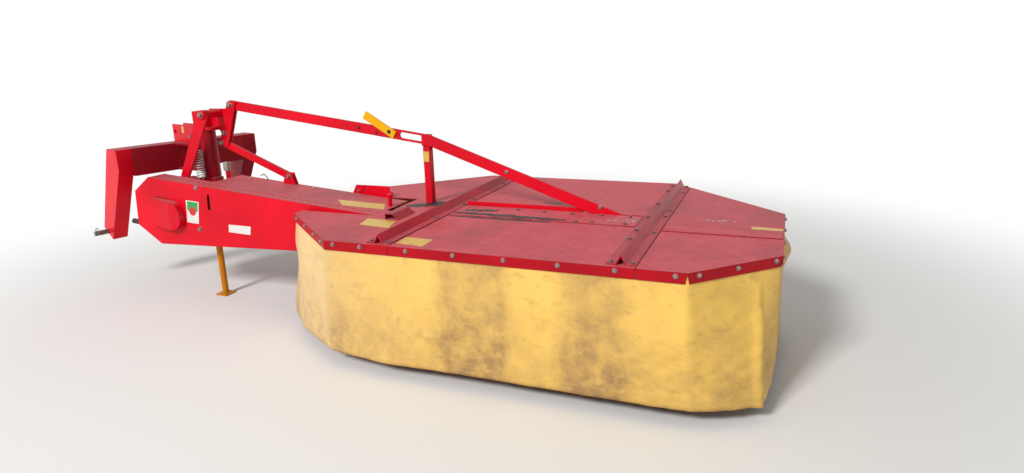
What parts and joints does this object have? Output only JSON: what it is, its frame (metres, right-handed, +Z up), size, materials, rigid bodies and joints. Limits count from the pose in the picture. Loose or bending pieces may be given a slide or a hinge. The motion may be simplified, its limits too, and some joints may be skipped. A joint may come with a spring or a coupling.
{
  "type": "two-drum mower for a three-point hitch, parked on its stand",
  "caption": "Rear-mounted drum mower: swinging headstock, belt-drive arm, linkage, eight-sided cover with cloth aprons, and two knife drums on turning skids.",
  "frame": {"origin": "on the floor under the middle of the whole machine's box", "axes": "+X along the cutting unit away from the headstock, -Y the side of the belt housing, +Z up"},
  "size_m": [3.6961, 1.5, 1.065],
  "materials": {
    "red_paint": "faded gloss",
    "yellow_paint": "worn gloss",
    "apron_cloth": "coated cloth, dirty",
    "bare_steel": "rubbed and rusty",
    "black_rubber": "matt moulded",
    "grey_plastic": "weathered",
    "grey_iron": "greasy grey"
  },
  "bodies": {
    "arm": {"belt_housing": "red_paint", "arm_beam": "red_paint", "arm_lid": "red_paint", "input_hub": "grey_iron", "input_stub": "bare_steel", "input_guard": "black_rubber", "housing_knob": "black_rubber", "shaft_rest": "red_paint", "rest_block": "grey_plastic", "kingpin": "bare_steel", "mast_head": "red_paint", "mast_strut": "red_paint", "rocker": "red_paint", "push_strut": "red_paint", "push_foot": "red_paint", "relief_spring": "grey_iron", "stand_sleeve": "red_paint"},
    "headstock": {"portal_beam": "red_paint", "portal_leg_near": "red_paint", "portal_leg_far": "red_paint", "link_pin_near": "bare_steel", "link_pin_far": "bare_steel", "top_link_clevis": "red_paint", "swing_hub": "red_paint", "hub_plates": "red_paint"},
    "cutter": {"gear_beam": "red_paint", "spindle_inner": "grey_iron", "spindle_outer": "grey_iron", "hinge_lugs": "red_paint", "cover_left": "red_paint", "cover_middle": "red_paint", "cover_right": "red_paint", "cover_rib_left": "red_paint", "cover_rib_right": "red_paint", "cover_bearers": "red_paint", "cover_strips": "red_paint", "notch_shield": "red_paint", "housing_hood": "red_paint", "lift_post": "red_paint", "post_brace": "red_paint", "angle_bar": "red_paint", "apron_near": "apron_cloth", "apron_near_right": "apron_cloth", "apron_right": "apron_cloth", "apron_far_right": "apron_cloth", "apron_far": "apron_cloth", "apron_far_left": "apron_cloth", "apron_near_left": "apron_cloth"},
    "lift_linkage": {"lift_bar": "red_paint", "latch_lever": "yellow_paint"},
    "drum_inner": {"drum_inner": "red_paint", "knives_inner": "bare_steel"},
    "drum_outer": {"drum_outer": "red_paint", "knives_outer": "bare_steel"},
    "skid_inner": {"skid_inner": "bare_steel"},
    "skid_outer": {"skid_outer": "bare_steel"},
    "stand": {"stand_leg": "yellow_paint"}
  },
  "joints": [
    {"name": "headstock_swing", "type": "hinge", "parent": "arm", "child": "headstock", "pos_m": [-1.192, 0, 0.78], "axis": [0, 0, 1], "range_deg": [-73, 17]},
    {"name": "cutter_float", "type": "hinge", "parent": "arm", "child": "cutter", "pos_m": [0.13, 0, 0.46], "axis": [0, -1, 0], "range_deg": [0, 8]},
    {"name": "lift_bar_turn", "type": "hinge", "parent": "arm", "child": "lift_linkage", "pos_m": [-0.99, 0, 1.04], "axis": [0, -1, 0], "range_deg": [-0.2, 0]},
    {"name": "drum_inner_spin", "type": "hinge", "parent": "cutter", "child": "drum_inner", "pos_m": [0.393, 0, 0.2], "axis": [0, 0, 1], "continuous": true},
    {"name": "drum_outer_spin", "type": "hinge", "parent": "cutter", "child": "drum_outer", "pos_m": [1.318, 0, 0.2], "axis": [0, 0, 1], "continuous": true},
    {"name": "skid_inner_spin", "type": "hinge", "parent": "cutter", "child": "skid_inner", "pos_m": [0.393, 0, 0.2], "axis": [0, 0, 1], "continuous": true},
    {"name": "skid_outer_spin", "type": "hinge", "parent": "cutter", "child": "skid_outer", "pos_m": [1.318, 0, 0.2], "axis": [0, 0, 1], "continuous": true},
    {"name": "stand_slide", "type": "slide", "parent": "arm", "child": "stand", "axis": [0, 0, 1], "range_m": [0, 0.165]}
  ],
  "couplings": [
    {"joint": "lift_bar_turn", "follows": "cutter_float", "ratio": -0.0117}
  ]
}
